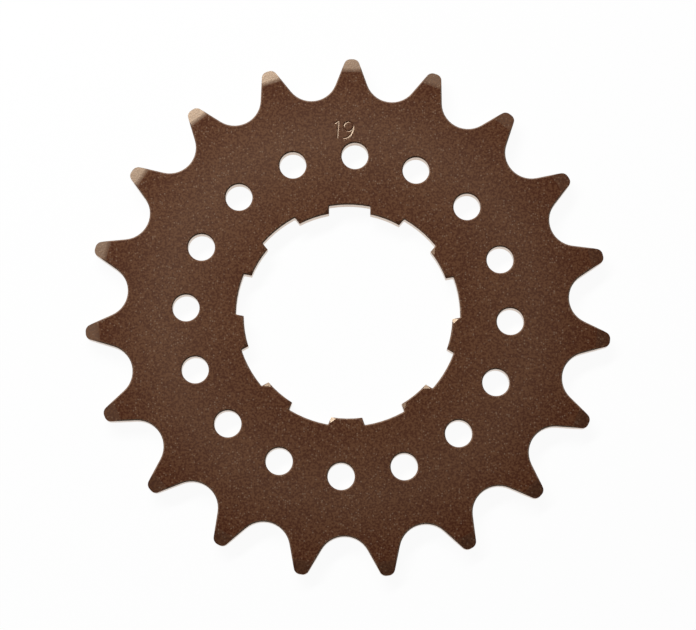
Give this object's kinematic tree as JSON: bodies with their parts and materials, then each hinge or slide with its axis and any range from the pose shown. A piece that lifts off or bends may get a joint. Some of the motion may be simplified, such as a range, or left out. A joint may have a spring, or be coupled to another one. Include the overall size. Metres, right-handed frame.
{
  "type": "single speed cog",
  "caption": "Flat steel sprocket for a half-inch bicycle chain, with bevelled tooth tips, a ring of round lightening holes and a splined bore that slides onto a freehub body.",
  "frame": {"origin": "on the bore's axis, in the plane of the back face", "axes": "+Z along the bore's axis, out of the front face; +Y through one tooth and one spline slot"},
  "size_m": [0.0816, 0.0813, 0.002],
  "materials": {
    "coated_steel": "thin matt dark brown coating with a fine grain"
  },
  "bodies": {
    "root": {"cog": "coated_steel"}
  },
  "joints": []
}
